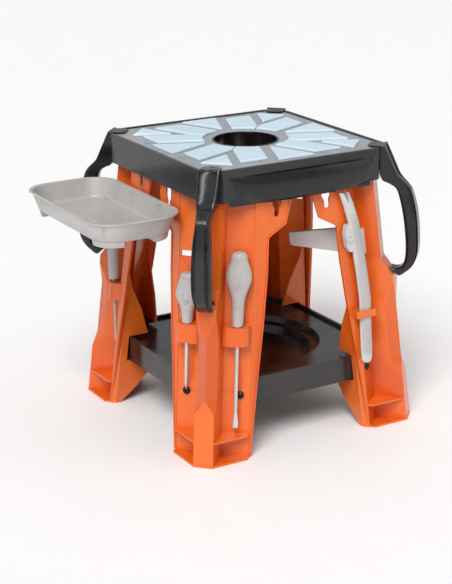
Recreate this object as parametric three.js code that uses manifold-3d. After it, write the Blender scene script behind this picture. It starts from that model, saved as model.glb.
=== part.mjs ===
// Toy workbench on four splayed legs, with a plug-in tray, two screwdrivers and a claw hammer.
// Millimetres, +Z up, the table's centre at x = y = 0 and the floor at z = 0.
// The front is -Y, where the apron bulges; the tray hangs on the -X side.
import * as THREE from 'three';
import { mergeVertices } from 'three/addons/utils/BufferGeometryUtils.js';
import Module from 'manifold-3d';

const wasm = await Module();
wasm.setup();

// Driving sizes
const TOP_Z = 450;            // height of the frame's rim
const PANEL_Z = 448;          // height of the grey panel under the tiles
const TOP_HALF = 168;         // half the width of the square top
const TOP_CHAMFER = 29;       // cut at each corner of the top
const TOP_HOLE_R = 50;        // round hole in the middle of the top
const DECK = 5;               // thickness of the frame's deck
const APRON_WALL = 3.5;       // thickness of the apron
const APRON_SIDE_Z = 403;     // lower edge of the flat side aprons
const APRON_MID_Z = 393;      // lower edge of the bowed aprons at the middle
const BULGE = 9;              // how far the bowed aprons stand out
const PANEL_INSET = 5;        // frame rim around the grey panel
const TILE_TOP = 452;         // upper face of the blue tiles
const GAP = 0.3;              // clearance between pieces
const SPLAY = 0.085;          // how far a leg leans per millimetre of height, along X and along Y
const FOOT_HALF = 204;        // half the foot square
const LEG_WALL = 3;           // wall of the leg mouldings
const LEG_TOP = 436;          // top of the legs, hidden under the deck
const STEP_LOW = 244;         // the ridge's shoulder starts here
const STEP_HIGH = 270;        // and ends here
const STEP_IN = 12;           // how much smaller the ridge is above the shoulder
const HOLDER_LOW = 180;       // tool ring on each wing, lower face
const HOLDER_HIGH = 209;      // and upper face
const SHELF_HALF = 167;       // half the width of the shelf
const SHELF_LOW = 75;         // lower edge of the shelf's rails
const SHELF_HIGH = 116;       // upper edge of the shelf's rails

const COLOURS = {
  orange: [0xe8601c, 0.32, 0],
  black: [0x17181a, 0.3, 0],
  shelfBlack: [0x2a2827, 0.38, 0],
  panelGrey: [0x8d9196, 0.5, 0],
  paleBlue: [0xc3d9e6, 0.5, 0],
  toolGrey: [0xaaa5a4, 0.45, 0],
  steel: [0xc4c4c6, 0.3, 1],
  screw: [0x1b1c1e, 0.35, 1],
};

// ---- solids ----
function solid(geometry) {
  const bare = geometry.clone();
  bare.deleteAttribute('normal');
  bare.deleteAttribute('uv');
  const merged = mergeVertices(bare, 1e-4);
  const mesh = new wasm.Mesh({
    numProp: 3,
    vertProperties: new Float32Array(merged.attributes.position.array),
    triVerts: new Uint32Array(merged.index.array),
  });
  return new wasm.Manifold(mesh);
}

function prism(points, low, high) {
  const shape = new THREE.Shape(points.map(([x, y]) => new THREE.Vector2(x, y)));
  const geometry = new THREE.ExtrudeGeometry(shape, { depth: high - low, bevelEnabled: false, curveSegments: 10 });
  geometry.translate(0, 0, low);
  return solid(geometry);
}

// A prism whose outline lies in (across, Z), drawn out along the third axis.
function uprightPrism(points, low, high, along = 'y') {
  const shape = new THREE.Shape(points.map(([x, y]) => new THREE.Vector2(x, y)));
  const geometry = new THREE.ExtrudeGeometry(shape, { depth: high - low, bevelEnabled: false, curveSegments: 10 });
  geometry.translate(0, 0, low);
  const matrix = new THREE.Matrix4();
  if (along === 'y') {
    matrix.set(1, 0, 0, 0, 0, 0, 1, 0, 0, 1, 0, 0, 0, 0, 0, 1);
  } else {
    matrix.set(0, 0, 1, 0, 1, 0, 0, 0, 0, 1, 0, 0, 0, 0, 0, 1);
  }
  geometry.applyMatrix4(matrix);
  if (matrix.determinant() < 0) {
    const index = geometry.index ? geometry.index.array : null;
    const flipped = index ? Array.from(index) : [...Array(geometry.attributes.position.count).keys()];
    for (let i = 0; i < flipped.length; i += 3) {
      [flipped[i], flipped[i + 1]] = [flipped[i + 1], flipped[i]];
    }
    geometry.setIndex(flipped);
  }
  return solid(geometry);
}

function cylinder(radiusLow, radiusHigh, low, high, x = 0, y = 0, segments = 40) {
  const geometry = new THREE.CylinderGeometry(radiusHigh, radiusLow, high - low, segments);
  geometry.rotateX(Math.PI / 2);
  geometry.translate(x, y, (low + high) / 2);
  return solid(geometry);
}

function box(x0, x1, y0, y1, z0, z1) {
  const geometry = new THREE.BoxGeometry(x1 - x0, y1 - y0, z1 - z0);
  geometry.translate((x0 + x1) / 2, (y0 + y1) / 2, (z0 + z1) / 2);
  return solid(geometry);
}

function join(list) {
  return list.reduce((whole, piece) => whole.add(piece));
}

// Rings of equal point count stacked into one closed body. diagonal(i, band) true splits a-c, else b-d.
function loft(given, diagonal = () => true) {
  const flatRing = given[0].map((p) => new THREE.Vector2(p[0], p[1]));
  const clockwise = THREE.ShapeUtils.isClockWise(flatRing);
  const rings = clockwise ? given.map((ring) => ring.slice().reverse()) : given;
  const count = rings[0].length;
  const positions = rings.flat(2);
  const index = [];
  for (let band = 0; band < rings.length - 1; band += 1) {
    for (let i = 0; i < count; i += 1) {
      const j = (i + 1) % count;
      const a = band * count + i;
      const b = band * count + j;
      const c = (band + 1) * count + j;
      const d = (band + 1) * count + i;
      if (diagonal(i, band)) {
        index.push(a, b, c, a, c, d);
      } else {
        index.push(a, b, d, b, c, d);
      }
    }
  }
  const cap = (ring, offset, flip) => {
    const flat = ring.map((p) => new THREE.Vector2(p[0], p[1]));
    for (const [p, q, r] of THREE.ShapeUtils.triangulateShape(flat, [])) {
      index.push(offset + p, offset + (flip ? r : q), offset + (flip ? q : r));
    }
  };
  cap(rings[0], 0, true);
  cap(rings[rings.length - 1], (rings.length - 1) * count, false);
  const geometry = new THREE.BufferGeometry();
  geometry.setAttribute('position', new THREE.Float32BufferAttribute(positions, 3));
  geometry.setIndex(index);
  return solid(geometry);
}

function mirrorDiagonal(shape) {
  return shape.transform([0, 1, 0, 0, 1, 0, 0, 0, 0, 0, 1, 0, 0, 0, 0, 1]);
}

// Lean a piece drawn upright at foot level the way the leg of corner (sx, sy) leans.
function lean(shape) {
  return shape.transform([1, 0, 0, 0, 0, 1, 0, 0, -SPLAY, -SPLAY, 1, 0, 0, 0, 0, 1]);
}

function toCorner(shape, sx, sy) {
  return shape.transform([sx, 0, 0, 0, 0, sy, 0, 0, 0, 0, 1, 0, 0, 0, 0, 1]);
}

function turned(shape, degrees) {
  return shape.rotate([0, 0, degrees]);
}

function octagon(half, chamfer) {
  const inner = half - chamfer;
  return [[inner, -half], [half, -inner], [half, inner], [inner, half],
    [-inner, half], [-half, inner], [-half, -inner], [-inner, -half]];
}

function roundedRectangle(x0, x1, y0, y1, radius, steps = 6) {
  const points = [];
  const corners = [[x1 - radius, y0 + radius, -90], [x1 - radius, y1 - radius, 0],
    [x0 + radius, y1 - radius, 90], [x0 + radius, y0 + radius, 180]];
  for (const [cx, cy, start] of corners) {
    for (let i = 0; i <= steps; i += 1) {
      const angle = THREE.MathUtils.degToRad(start + (90 * i) / steps);
      points.push([cx + radius * Math.cos(angle), cy + radius * Math.sin(angle)]);
    }
  }
  return points;
}

// The same path moved sideways by a distance, with mitred corners.
function offsetPath(path, distance) {
  const normals = [];
  for (let i = 0; i < path.length - 1; i += 1) {
    const dx = path[i + 1][0] - path[i][0];
    const dy = path[i + 1][1] - path[i][1];
    const length = Math.hypot(dx, dy);
    normals.push([-dy / length, dx / length]);
  }
  return path.map((point, i) => {
    const before = normals[Math.max(0, i - 1)];
    const after = normals[Math.min(normals.length - 1, i)];
    const scale = distance / (1 + before[0] * after[0] + before[1] * after[1]);
    return [point[0] + (before[0] + after[0]) * scale, point[1] + (before[1] + after[1]) * scale];
  });
}

// ---- table frame and panel ----
function bowedApron() {
  // Half sections along X from one end to the other; each section is a closed outline in (Y, Z).
  const end = TOP_HALF - TOP_CHAMFER - 9;
  const steps = 18;
  const geometryRings = [];
  for (let i = 0; i <= steps; i += 1) {
    const t = -1 + (2 * i) / steps;
    const x = end * Math.sign(t) * (1 - (1 - Math.abs(t)) ** 1.25);
    const fullness = (1 - Math.abs(x / end) ** 5) ** 0.9;
    const out = 0.4 + (BULGE - 0.4) * fullness * (1 - 0.25 * (x / end) ** 2);
    const foot = APRON_SIDE_Z - (APRON_SIDE_Z - APRON_MID_Z) * (1 - (x / end) ** 4);
    const inner = -TOP_HALF + 1;
    const profile = [
      [inner, TOP_Z - 12], [inner, foot],
      [-TOP_HALF - out * 0.55, foot], [-TOP_HALF - out * 0.9, foot + 3.5],
      [-TOP_HALF - out, foot + 12], [-TOP_HALF - out * 0.97, foot + 24],
      [-TOP_HALF - out * 0.8, TOP_Z - 19], [-TOP_HALF - out * 0.4, TOP_Z - 14],
    ];
    geometryRings.push(profile.map(([y, z]) => [y, z, x]));
  }
  const shape = loft(geometryRings);
  return shape.transform([0, 1, 0, 0, 0, 0, 1, 0, 1, 0, 0, 0, 0, 0, 0, 1]);
}

function makeFrame() {
  const inner = octagon(TOP_HALF - APRON_WALL, TOP_CHAMFER - 1.5);
  const hull = prism(octagon(TOP_HALF, TOP_CHAMFER), APRON_MID_Z, TOP_Z);
  const hollow = prism(inner, APRON_MID_Z - 1, TOP_Z - DECK - 3);
  const half = TOP_HALF + 1;
  const sideCut = box(-half, half, -(TOP_HALF - 12), TOP_HALF - 12, APRON_MID_Z - 1, APRON_SIDE_Z);
  const cornerPoints = [[TOP_HALF - 45, TOP_HALF + 1], [TOP_HALF + 1, TOP_HALF + 1], [TOP_HALF + 1, TOP_HALF - 45]];
  let frame = hull.subtract(hollow).subtract(sideCut);
  for (const [sx, sy] of CORNERS) {
    const corner = cornerPoints.map(([x, y]) => [x * sx, y * sy]);
    frame = frame.subtract(prism(corner, APRON_MID_Z - 1, APRON_SIDE_Z - 3));
  }
  const bow = bowedApron();
  frame = frame.add(bow).add(turned(bow, 180));
  const seat = octagon(TOP_HALF - PANEL_INSET, TOP_CHAMFER - 3);
  frame = frame.subtract(prism(seat, PANEL_Z - 3.5, TOP_Z + 1));
  frame = frame.subtract(cylinder(TOP_HOLE_R + 6, TOP_HOLE_R + 6, TOP_Z - 30, TOP_Z + 1, 0, 0, 48));
  // screw holes for the four corner handles
  for (const [sx, sy] of CORNERS) {
    const d = TOP_HALF - 24;
    frame = frame.subtract(cylinder(3.2, 3.2, TOP_Z - 12, TOP_Z + 1, sx * d, sy * d, 20));
  }
  return frame;
}

function makePanel() {
  const outline = octagon(TOP_HALF - PANEL_INSET - GAP, TOP_CHAMFER - 3);
  let panel = prism(outline, PANEL_Z - 3.5 + GAP, PANEL_Z);
  panel = panel.subtract(cylinder(TOP_HOLE_R + 3 + GAP, TOP_HOLE_R + 3 + GAP, TOP_Z - 9, TOP_Z + 1, 0, 0, 48));
  // round sockets beside the tiles, two on each edge
  for (let k = 0; k < 4; k += 1) {
    for (const across of [-56, 56]) {
      const angle = (k * Math.PI) / 2;
      const x = Math.cos(angle) * 144 - Math.sin(angle) * across;
      const y = Math.sin(angle) * 144 + Math.cos(angle) * across;
      panel = panel.subtract(cylinder(6, 6, PANEL_Z - 2.2, TOP_Z + 1, x, y, 20));
    }
  }
  return panel;
}

function makeCollar() {
  const r = TOP_HOLE_R;
  const outline = [[r, TOP_Z - 26], [r + 3, TOP_Z - 26], [r + 3, PANEL_Z], [r + 2.4, PANEL_Z + 0.8],
    [r + 0.8, PANEL_Z + 0.8], [r, PANEL_Z], [r, TOP_Z - 26]];
  return solid(new THREE.LatheGeometry(outline.map(([x, y]) => new THREE.Vector2(x, y)), 48)
    .rotateX(Math.PI / 2));
}

// The tab of a corner handle, on the top, in the quarter x > 0, y > 0.
function tabOutline(grow = 0) {
  const c = (2 * TOP_HALF - TOP_CHAMFER) / 2;
  const along = (d, s) => [c + (d + s) * Math.SQRT1_2, c + (d - s) * Math.SQRT1_2];
  const w = 15 + grow;
  return [along(8, w), along(-13 - grow, w), along(-20 - grow, 9 + grow),
    along(-20 - grow, -9 - grow), along(-13 - grow, -w), along(8, -w)];
}

// ---- tiles ----
function bevelled(points, low, high, bevel = 1.2) {
  const base = points.map(([x, y]) => [x, y, low]);
  const waist = points.map(([x, y]) => [x, y, high - bevel]);
  const turnedPath = offsetPath([...points, points[0], points[1]], bevel);
  const inner = points.map((_, i) => turnedPath[i === 0 ? points.length : i]);
  const crown = inner.map(([x, y]) => [x, y, high]);
  return loft([base, waist, crown]);
}

// Keep the part of a convex outline where a x + b y <= c for every plane [a, b, c].
function clipTo(points, planes) {
  let kept = points;
  for (const [a, b, c] of planes) {
    const next = [];
    kept.forEach((p, i) => {
      const q = kept[(i + 1) % kept.length];
      const dp = a * p[0] + b * p[1] - c;
      const dq = a * q[0] + b * q[1] - c;
      if (dp <= 0) next.push(p);
      if (dp * dq < 0) {
        const t = dp / (dp - dq);
        next.push([p[0] + (q[0] - p[0]) * t, p[1] + (q[1] - p[1]) * t]);
      }
    });
    kept = next;
  }
  return kept;
}

function clipOutline(points, limit) {
  // keep the part of a convex outline inside |x|, |y| < limit and clear of the corners
  const planes = [[1, 0, limit], [-1, 0, limit], [0, 1, limit], [0, -1, limit],
    [1, 1, TILE_CORNER], [1, -1, TILE_CORNER], [-1, 1, TILE_CORNER], [-1, -1, TILE_CORNER]];
  return clipTo(points, planes);
}

function turnPoints(points, degrees) {
  const a = THREE.MathUtils.degToRad(degrees);
  return points.map(([x, y]) => [x * Math.cos(a) - y * Math.sin(a), x * Math.sin(a) + y * Math.cos(a)]);
}

const STAR_R = 68;            // inner end of the starburst's bars
const BAR_NARROW = 12;        // a bar's reach to the side of the nearest axis
const BAR_WIDE = 32;          // and to the side of the nearest diagonal
const BAR_END = 135;          // where the bars stop
const WEDGE_END = 149;        // where the wedges stop
const TILE_CORNER = 253;      // x + y at the base of a corner wedge

function barOutline(k) {
  const low = k % 2 === 0 ? -BAR_NARROW : -BAR_WIDE;
  const high = k % 2 === 0 ? BAR_WIDE : BAR_NARROW;
  const arc = [];
  for (let i = 0; i <= 4; i += 1) {
    const side = high + ((low - high) * i) / 4;
    arc.push([Math.sqrt(STAR_R ** 2 - side ** 2), side]);
  }
  const sector = Math.tan(THREE.MathUtils.degToRad(22.5));
  const planes = [[-sector, 1, -1], [-sector, -1, -1]];
  const whole = clipTo([[210, low], [210, high], ...arc], planes);
  return clipOutline(turnPoints(whole, 22.5 + 45 * k), BAR_END);
}

function wedgeOutline(k) {
  // on an axis for even k, on a diagonal for odd k
  const half = THREE.MathUtils.degToRad(22.5);
  const apex = k % 2 === 0 ? 72 : 120;
  const reach = 150;
  const w = reach * Math.tan(half);
  const outline = turnPoints([[apex + 3, 1.2], [apex + 3, -1.2], [apex + reach, -w], [apex + reach, w]], 45 * k);
  return clipOutline(outline, WEDGE_END);
}

// ---- legs ----
const BORE = [138.9, 194.4];       // axis of the tool ring's bore at foot level
const CORNERS = [[-1, -1], [1, -1], [1, 1], [-1, 1]];
const ROOT = [147, 169];      // where the ridge's side meets the recessed panel
const EDGE = [112, 197];      // outer edge of the wing
const END = [104.5, 189.5];   // inner end of the wing
const RIDGE_CUT = 22;         // chamfer of the ridge

function ridgePoints(inset, pointed) {
  const b = FOOT_HALF - inset;
  const flat = [[b - RIDGE_CUT, b], [b - RIDGE_CUT / 2, b - RIDGE_CUT / 2], [b, b - RIDGE_CUT]];
  if (!pointed) return flat;
  const back = 12.5;
  const nose = 1.4;
  return [[flat[0][0] - back, flat[0][1] - back], [flat[1][0] - nose, flat[1][1] - nose],
    [flat[2][0] - back, flat[2][1] - back]];
}

function legRing(z, inset, pointed) {
  const swap = ([u, v]) => [v, u];
  const outer = [END, EDGE, ROOT, ...ridgePoints(inset, pointed), swap(ROOT), swap(EDGE), swap(END)];
  const inner = offsetPath(outer, -LEG_WALL).reverse();
  return [...outer, ...inner].reverse().map(([u, v]) => [u, v, z]);
}

function legShell() {
  const levels = [[0, 0, false], [82, 0, false], [104, 0, true], [193, 0, true], [230, 0, false],
    [STEP_LOW, 0, false], [STEP_HIGH, STEP_IN, false], [LEG_TOP, STEP_IN, false]];
  const rings = levels.map(([z, inset, pointed]) => legRing(z, inset, pointed));
  const middle = [4, 13];
  const diagonal = (i, band) => {
    const before = middle.includes(i + 1);
    const after = middle.includes(i);
    if (band === 1) return !after;
    if (band === 3) return !before;
    return true;
  };
  return loft(rings, diagonal);
}

// The plate under the apron and the strip that runs on from it down to the foot, in (u, Z).
const STRIP = [[52, LEG_TOP], [52, 392], [60, 354], [90, 337], [90, 280], [95, 200], [102, 124], [109, 30],
  [111.5, 4]];

function makeLeg(sx, sy, slotted) {
  let leg = legShell();
  // foot flange and the rib above it fill the hollows beside the ridge
  const shelfLine = offsetPath([END, EDGE, ROOT, ...ridgePoints(0, false), [ROOT[1], ROOT[0]],
    [EDGE[1], EDGE[0]], [END[1], END[0]]], -1.5);
  const rim = (b) => [[END[0], b - 15.5], [120, b], [b - 21, b], [b, b - 21], [b, 120], [b - 15.5, END[0]]];
  leg = leg.add(prism([...rim(FOOT_HALF), ...shelfLine.slice().reverse()].reverse(), 0, 3));
  leg = leg.add(prism([...rim(FOOT_HALF - 1), ...shelfLine.slice().reverse()].reverse(), 36, 38.6));
  const side = [];
  // web turned inward at the wing's inner end, widest at the shelf
  const webOutline = [[189, 0], [181, 0], [153, 25], [130, 52], [132, 75], [142, 116], [159, 163], [180, 202],
    [189, 235]];
  const web = uprightPrism(webOutline, END[0] + 0.2, END[0] + 3.2, 'x');
  const notch = box(80, 115, 100, 177.6, SHELF_LOW - 1.2, SHELF_HIGH + 1.2);
  side.push(web.subtract(notch));
  // plate under the apron, with a raised edge
  const plate = uprightPrism([[114, LEG_TOP], ...STRIP, [114, 4]], EDGE[1] - LEG_WALL, EDGE[1], 'y');
  const edgeInner = offsetPath(STRIP, 2.2);
  const edge = uprightPrism([...STRIP, ...edgeInner.reverse()], EDGE[1] - 1, EDGE[1] + 1.4, 'y');
  side.push(plate);
  side.push(edge);
  for (const piece of side) {
    leg = leg.add(piece).add(mirrorDiagonal(piece));
  }
  // tool rings; the hammer's wing has a strap instead
  leg = leg.add(slotted ? hammerStrap() : toolRing()).add(mirrorDiagonal(toolRing()));
  // cuts: the ring's bore, the keyhole, the screw holes
  const cuts = [];
  cuts.push(uprightPrism([[69, LEG_TOP + 2], [69, 386], [72.5, 380], [72.5, 370], [75, 367], [79, 367],
    [81.5, 370], [81.5, 380], [85, 386], [85, LEG_TOP + 2]], 185, 205, 'y'));
  cuts.push(solid(screwBore()));
  for (const cut of cuts) {
    leg = leg.subtract(cut).subtract(mirrorDiagonal(cut));
  }
  const bore = cylinder(6.6, 6.6, HOLDER_LOW - 2, HOLDER_HIGH + 2, BORE[0], BORE[1], 24);
  leg = leg.subtract(mirrorDiagonal(bore));
  if (!slotted) leg = leg.subtract(bore);
  // one slot through each leg's panel, the wider one for the hammer's claw
  const slot = slotted ? clawSlot() : panelSlot();
  leg = leg.subtract(sx === sy ? mirrorDiagonal(slot) : slot);
  leg = lean(leg);
  leg = leg.subtract(box(150, 400, -400, 400, APRON_MID_Z - 1.2, LEG_TOP + 10)
    .add(box(-400, 400, 150, 400, APRON_MID_Z - 1.2, LEG_TOP + 10))
    .subtract(prism(octagon(TOP_HALF - APRON_WALL - 0.5, TOP_CHAMFER - 1), APRON_MID_Z - 5, LEG_TOP + 20)));
  return toCorner(leg, sx, sy);
}

// Place along the panel's normal: a direction square to the recessed panel.
const PANEL_ALONG = new THREE.Vector3(EDGE[0] - ROOT[0], EDGE[1] - ROOT[1], 0).normalize();
const PANEL_OUT = new THREE.Vector3(PANEL_ALONG.y, -PANEL_ALONG.x, 0);
const SCREW_Z = 98;
const SCREW_T = 0.6;          // how far along the panel, from its root

// A point on the recessed panel: how far along it from its root, and how far out from it.
function panelPoint(along, out) {
  return [ROOT[0] + PANEL_ALONG.x * along + PANEL_OUT.x * out, ROOT[1] + PANEL_ALONG.y * along + PANEL_OUT.y * out];
}

function toolRing() {
  const outline = [[40, -2]];
  for (let i = 0; i <= 6; i += 1) {
    const a = (Math.PI * i) / 12;
    outline.push([28 + 12 * Math.cos(a), 11 + 12 * Math.sin(a)]);
  }
  for (let i = 0; i <= 6; i += 1) {
    const a = Math.PI / 2 + (Math.PI * i) / 12;
    outline.push([10 + 12 * Math.cos(a), 11 + 12 * Math.sin(a)]);
  }
  outline.push([-2, -2]);
  return prism(outline.map(([along, out]) => panelPoint(along, out)), HOLDER_LOW, HOLDER_HIGH);
}

// The strap in front of the hammer's bar, with its two brackets.
function hammerStrap() {
  const strap = prism([[100.5, 195.5], [100.5, 213.5], [136.5, 213.5], [136.5, 176.3], [112.5, 195.5]], 189, 200);
  return strap.subtract(box(103.5, 134.2, 198.8, 211.4, 188, 201));
}

function screwPlace(depth) {
  const point = new THREE.Vector3(ROOT[0], ROOT[1], SCREW_Z);
  point.addScaledVector(PANEL_ALONG, SCREW_T * Math.hypot(EDGE[0] - ROOT[0], EDGE[1] - ROOT[1]));
  return point.addScaledVector(PANEL_OUT, depth);
}

function alongPanelNormal(geometry, depth) {
  const turn = new THREE.Quaternion().setFromUnitVectors(new THREE.Vector3(0, 1, 0), PANEL_OUT);
  geometry.applyQuaternion(turn);
  const place = screwPlace(depth);
  return geometry.translate(place.x, place.y, place.z);
}

function screwBore() {
  return alongPanelNormal(new THREE.CylinderGeometry(3.4, 3.4, 24, 20), 0);
}

function makeShelfScrew(sx, sy, mirrored) {
  const profile = [[0, -5.2], [2.9, -5.2], [2.9, 0.3], [6.2, 0.3], [6.2, 1.4], [5.2, 3.2], [3, 4.4],
    [1.7, 4.6], [1.5, 2.2], [0, 2.2]];
  const geometry = new THREE.LatheGeometry(profile.map(([x, y]) => new THREE.Vector2(x, y)), 20);
  let screw = solid(alongPanelNormal(geometry, 0));
  if (mirrored) screw = mirrorDiagonal(screw);
  return toCorner(lean(screw), sx, sy);
}

// ---- handles ----
const HANDLE_OUTER = [[223, 451.2], [228, 446], [242, 413], [250, 400], [260, 392], [269, 377], [277, 344],
  [280.5, 308], [280, 277], [272, 259], [253, 241], [246.2, 240.5], [244.4, 245]];
const HANDLE_INNER = [[236.5, 256.5], [241, 254.5], [251, 255.5], [259, 264], [261, 295], [257, 331],
  [250.5, 361], [243, 384], [233, 391], [221, 396], [217.6, 400], [217.6, 450]];

function halfWidth(z) {
  const stops = [[240, 12], [262, 15], [300, 15.5], [340, 14.5], [372, 11], [392, 10.5], [404, 13.5],
    [430, 16], [460, 16]];
  for (let i = 1; i < stops.length; i += 1) {
    if (z <= stops[i][0]) {
      const t = (z - stops[i - 1][0]) / (stops[i][0] - stops[i - 1][0]);
      return stops[i - 1][1] + (stops[i][1] - stops[i - 1][1]) * Math.max(0, t);
    }
  }
  return 16;
}

function smooth(points, steps) {
  const curve = new THREE.CatmullRomCurve3(points.map(([x, y]) => new THREE.Vector3(x, y, 0)), false, 'centripetal');
  return curve.getPoints(steps).map((p) => [p.x, p.y]);
}

function makeHandle(sx, sy) {
  // side view in (distance along the diagonal, Z), drawn out across it
  const outline = [...smooth(HANDLE_OUTER, 26), ...smooth(HANDLE_INNER, 24)];
  let strap = uprightPrism(outline, -16, 16, 'y');
  // front view trims the width
  const levels = [236, 262, 300, 340, 372, 392, 404, 430, 460];
  const right = levels.map((z) => [halfWidth(z), z]);
  const left = levels.map((z) => [-halfWidth(z), z]).reverse();
  const trim = uprightPrism([...right, ...left], 150, 320, 'x');
  strap = strap.intersect(trim);
  // shallow channel between the strap's raised edges
  const channel = uprightPrism([[224.6, 444], [239.4, 412], [246.5, 402], [262, 402], [262, 444]], -12.5, 12.5, 'y');
  strap = strap.subtract(channel);
  strap = strap.transform([Math.SQRT1_2, Math.SQRT1_2, 0, 0, -Math.SQRT1_2, Math.SQRT1_2, 0, 0, 0, 0, 1, 0, 0, 0, 0, 1]);
  strap = strap.subtract(prism(octagon(TOP_HALF + GAP, TOP_CHAMFER), APRON_SIDE_Z - 3 - GAP, TOP_Z + GAP));
  // tab on the table's top
  const rim = prism(octagon(TOP_HALF + 40, TOP_CHAMFER), PANEL_Z - 1, TOP_Z + GAP)
    .subtract(prism(octagon(TOP_HALF - PANEL_INSET - GAP, TOP_CHAMFER - 3), PANEL_Z - 2, TOP_Z + 1));
  let tab = prism(tabOutline(0), PANEL_Z + GAP, TOP_Z + 1.6).subtract(rim);
  tab = tab.subtract(cylinder(3.5, 3.5, PANEL_Z - 1, TOP_Z + 5, TOP_HALF - 24, TOP_HALF - 24, 20));
  return toCorner(strap.add(tab), sx, sy);
}

// ---- shelf ----
function makeShelf() {
  const body = prism(octagon(SHELF_HALF, 48), SHELF_LOW, SHELF_HIGH - 5);
  const lip = prism(octagon(SHELF_HALF, 48), SHELF_LOW, SHELF_HIGH)
    .subtract(prism(octagon(SHELF_HALF - 5, 46), SHELF_LOW - 1, SHELF_HIGH + 1));
  const hollow = prism(octagon(SHELF_HALF - 3.2, 47), SHELF_LOW - 1, SHELF_HIGH - 8.5);
  let shelf = body.add(lip).subtract(hollow);
  const bowl = [[0, 84], [98, 84], [104, 87], [108, 99], [119, 101.5], [122, SHELF_HIGH - 5], [122, 130], [0, 130]];
  const bowlOut = [[0, 81], [99, 81], [106.5, 85], [110.5, 96.5], [121, 99], [125, SHELF_HIGH - 6], [0, SHELF_HIGH - 6]];
  const lathe = (points) => solid(new THREE.LatheGeometry(points.map(([x, y]) => new THREE.Vector2(x, y)), 44)
    .rotateX(Math.PI / 2));
  shelf = shelf.add(lathe(bowlOut)).subtract(lathe(bowl));
  return shelf;
}

// ---- tray on its post ----
const TRAY = { x0: -321, x1: -170, y0: -120, y1: 160, rim: 379, floor: 348.5, under: 346, foot: 338 };
const POST_X = -179.2;
const POST_Y = 120.2;

function makeTray() {
  const layer = (inset, z, radius) => roundedRectangle(TRAY.x0 + inset, TRAY.x1 - inset, TRAY.y0 + inset,
    TRAY.y1 - inset, radius).map(([x, y]) => [x, y, z]);
  const outer = loft([layer(14, TRAY.under, 34), layer(12, TRAY.floor, 38), layer(4.6, TRAY.rim - 5, 42),
    layer(4.2, TRAY.rim - 2.6, 42), layer(0, TRAY.rim - 1.6, 44), layer(0, TRAY.rim, 44)]);
  const inner = loft([layer(18, TRAY.floor, 33), layer(14.6, TRAY.floor + 3, 36), layer(6.8, TRAY.rim - 3, 40),
    layer(5.4, TRAY.rim + 1, 41)]);
  let tray = outer.subtract(inner);
  // feet at three corners, flush with the wall
  const feet = loft([layer(15, TRAY.foot, 34), layer(13, TRAY.floor - 0.5, 36)]);
  for (const [x, y] of [[TRAY.x0, TRAY.y0], [TRAY.x1 - 50, TRAY.y0], [TRAY.x0, TRAY.y1 - 50]]) {
    tray = tray.add(feet.intersect(box(x, x + 50, y, y + 50, TRAY.foot, TRAY.floor)));
  }
  // ribs outside and inside the long wall beside the table
  for (const y of [-40, 46]) {
    tray = tray.add(box(TRAY.x1 - 11, TRAY.x1 - 5, y - 4, y + 4, TRAY.floor + 1, TRAY.rim - 1));
  }
  // socket for the post
  tray = tray.add(cylinder(10.9, 11.3, 315, 355, POST_X - 1, POST_Y, 28).subtract(inner));
  tray = tray.subtract(cylinder(7.3, 7.3, 305, 341.6, POST_X, POST_Y, 24));
  return tray;
}

function makePost() {
  const profile = [[0, 106.5], [2, 106.5], [2.4, 108.5], [2.4, 176], [3.2, 180], [3.2, 213.6], [8.6, 213.6], [9.4, 240],
    [10.2, 300], [10.4, 314.4], [7, 314.4], [7, 341], [0, 341]];
  const geometry = new THREE.LatheGeometry(profile.map(([x, y]) => new THREE.Vector2(x, y)), 28);
  geometry.rotateX(Math.PI / 2);
  geometry.translate(POST_X, POST_Y, 0);
  return solid(geometry);
}

// ---- screwdrivers, drawn upright in the (+, +) quarter over the ring's bore ----


function ovalRing(z, wide, thick, count = 20) {
  const ring = [];
  for (let i = 0; i < count; i += 1) {
    const a = (2 * Math.PI * i) / count;
    const along = Math.cos(a) * wide;
    const out = Math.sin(a) * thick;
    ring.push([BORE[0] + PANEL_ALONG.x * along + PANEL_OUT.x * out,
      BORE[1] + PANEL_ALONG.y * along + PANEL_OUT.y * out, z]);
  }
  return ring.reverse();
}

function makeDriverHandle(length, fullAt) {
  const base = HOLDER_HIGH + 0.5;
  const neck = fullAt - 0.34;
  const stations = [[0, 8, 8], [0.04, 8.6, 8.4], [neck, 10, 9.4], [neck + 0.12, 12.5, 10], [fullAt - 0.08, 18.6, 11.2],
    [fullAt, 20, 11.6], [fullAt + 0.1, 18.4, 11.2], [0.88, 13.4, 10.2], [0.95, 12, 9.4], [0.99, 9.4, 7.4], [1, 7.4, 5.8]];
  const handle = loft(stations.map(([t, wide, thick]) => ovalRing(base + t * length, wide, thick)));
  return handle.subtract(cylinder(3.2, 3.2, base - 1, base + 22, BORE[0], BORE[1], 20));
}

function makeDriverShaft(low, flat) {
  const top = HOLDER_HIGH + 20;
  let shaft = cylinder(2.9, 2.9, low + 22, top, BORE[0], BORE[1], 20);
  const ring = (z, a, b) => ovalRing(z, a, b, 16);
  if (flat) {
    shaft = shaft.add(loft([ring(low, 4.2, 0.9), ring(low + 10, 4.6, 1.6), ring(low + 24, 2.9, 2.9)]));
  } else {
    shaft = shaft.add(loft([ring(low, 0.8, 0.8), ring(low + 8, 2.4, 2.4), ring(low + 24, 2.9, 2.9)]));
  }
  return shaft;
}

// ---- hammer, drawn in the (+, +) quarter and mirrored to the right leg's front wing ----
const CLAW_Z = 307;           // height of the claw's centre line at foot level
const CLAW_ALONG = 10;        // its place along the recessed panel
const CLAW_HALF = 6;          // half its thickness where it goes through the panel
const BAR_OUT = 205;          // middle of the bar's thickness at foot level

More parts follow.
